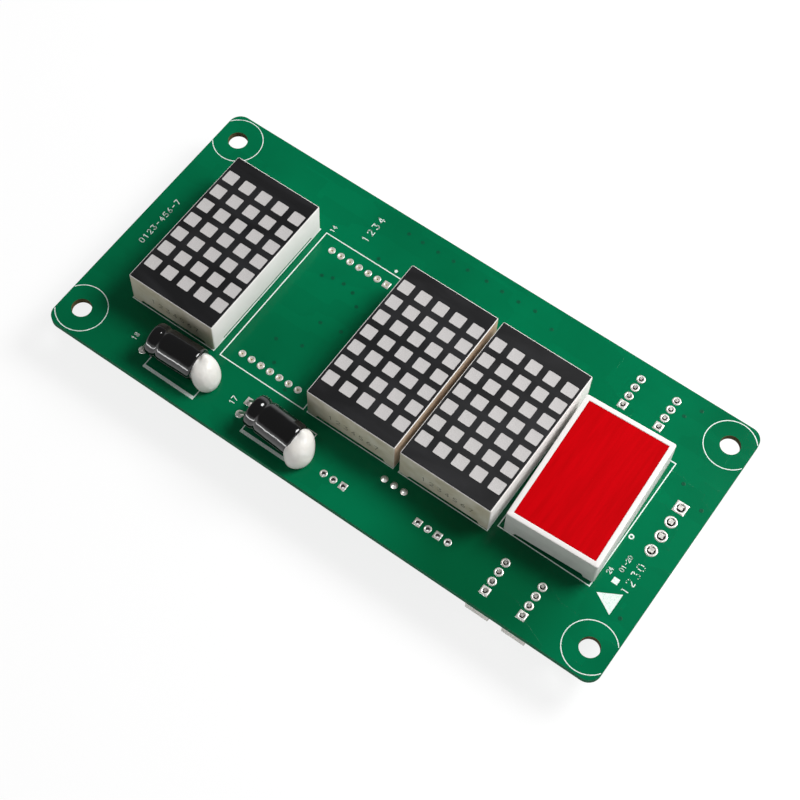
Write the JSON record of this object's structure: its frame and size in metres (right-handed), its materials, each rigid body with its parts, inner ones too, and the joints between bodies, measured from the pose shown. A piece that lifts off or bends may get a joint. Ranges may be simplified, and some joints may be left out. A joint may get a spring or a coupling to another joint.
{
  "type": "elevator display board",
  "caption": "Hall display board of an elevator: square-dot LED matrix modules and a red light bar on a green circuit board, with plug connectors on the rear.",
  "frame": {"origin": "centre of the four mounting holes, on the board's rear face", "axes": "+X along the long side towards the light bar, +Y along the short side, +Z out of the display's front"},
  "size_m": [0.1442, 0.0692, 0.0204],
  "materials": {
    "board_green": "glossy green solder mask",
    "bung_rubber": "moulded",
    "can_aluminium": "drawn",
    "capacitor_tan": "fired",
    "connector_nylon": "moulded, natural",
    "crystal_can": "drawn can",
    "diffuser_red": "cast, satin",
    "dot_grey": "cast, satin",
    "filling_clear": "cast, clear",
    "housing_white": "moulded, satin",
    "led_chip": "sawn chip",
    "mask_black": "printed, satin",
    "package_black": "moulded, matt",
    "print_white": "screen-printed white ink",
    "resistor_black": "glazed",
    "silicone_white": "cured silicone",
    "sleeve_black": "shrunk film",
    "substrate_white": "laminate",
    "tinned_metal": "tin plated"
  },
  "bodies": {
    "root": {"bus_transceiver_body": "package_black", "bus_transceiver_leads": "tinned_metal", "chip_capacitors": "capacitor_tan", "chip_resistors": "resistor_black", "circuit_board": "board_green", "crystal": "crystal_can", "driver_bodies": "package_black", "driver_leads": "tinned_metal", "left_capacitor_bung": "bung_rubber", "left_capacitor_can": "can_aluminium", "left_capacitor_glue": "silicone_white", "left_capacitor_leads": "tinned_metal", "left_capacitor_sleeve": "sleeve_black", "left_matrix_dots": "dot_grey", "left_matrix_housing": "housing_white", "left_matrix_mask": "mask_black", "left_matrix_pins": "tinned_metal", "left_matrix_substrate": "substrate_white", "light_bar_chips": "led_chip", "light_bar_diffuser": "diffuser_red", "light_bar_filling": "filling_clear", "light_bar_housing": "housing_white", "light_bar_pins": "tinned_metal", "light_bar_substrate": "substrate_white", "lower_inner_button_connector": "connector_nylon", "lower_inner_button_pins": "tinned_metal", "lower_outer_button_connector": "connector_nylon", "lower_outer_button_pins": "tinned_metal", "microcontroller_body": "package_black", "microcontroller_leads": "tinned_metal", "middle_matrix_dots": "dot_grey", "middle_matrix_housing": "housing_white", "middle_matrix_mask": "mask_black", "middle_matrix_pins": "tinned_metal", "middle_matrix_substrate": "substrate_white", "power_connector": "connector_nylon", "power_pins": "tinned_metal", "printed_lines": "print_white", "regulator_body": "package_black", "regulator_leads": "tinned_metal", "right_capacitor_bung": "bung_rubber", "right_capacitor_can": "can_aluminium", "right_capacitor_glue": "silicone_white", "right_capacitor_leads": "tinned_metal", "right_capacitor_sleeve": "sleeve_black", "right_matrix_dots": "dot_grey", "right_matrix_housing": "housing_white", "right_matrix_mask": "mask_black", "right_matrix_pins": "tinned_metal", "right_matrix_substrate": "substrate_white", "upper_inner_button_connector": "connector_nylon", "upper_inner_button_pins": "tinned_metal", "upper_outer_button_connector": "connector_nylon", "upper_outer_button_pins": "tinned_metal"}
  },
  "joints": []
}
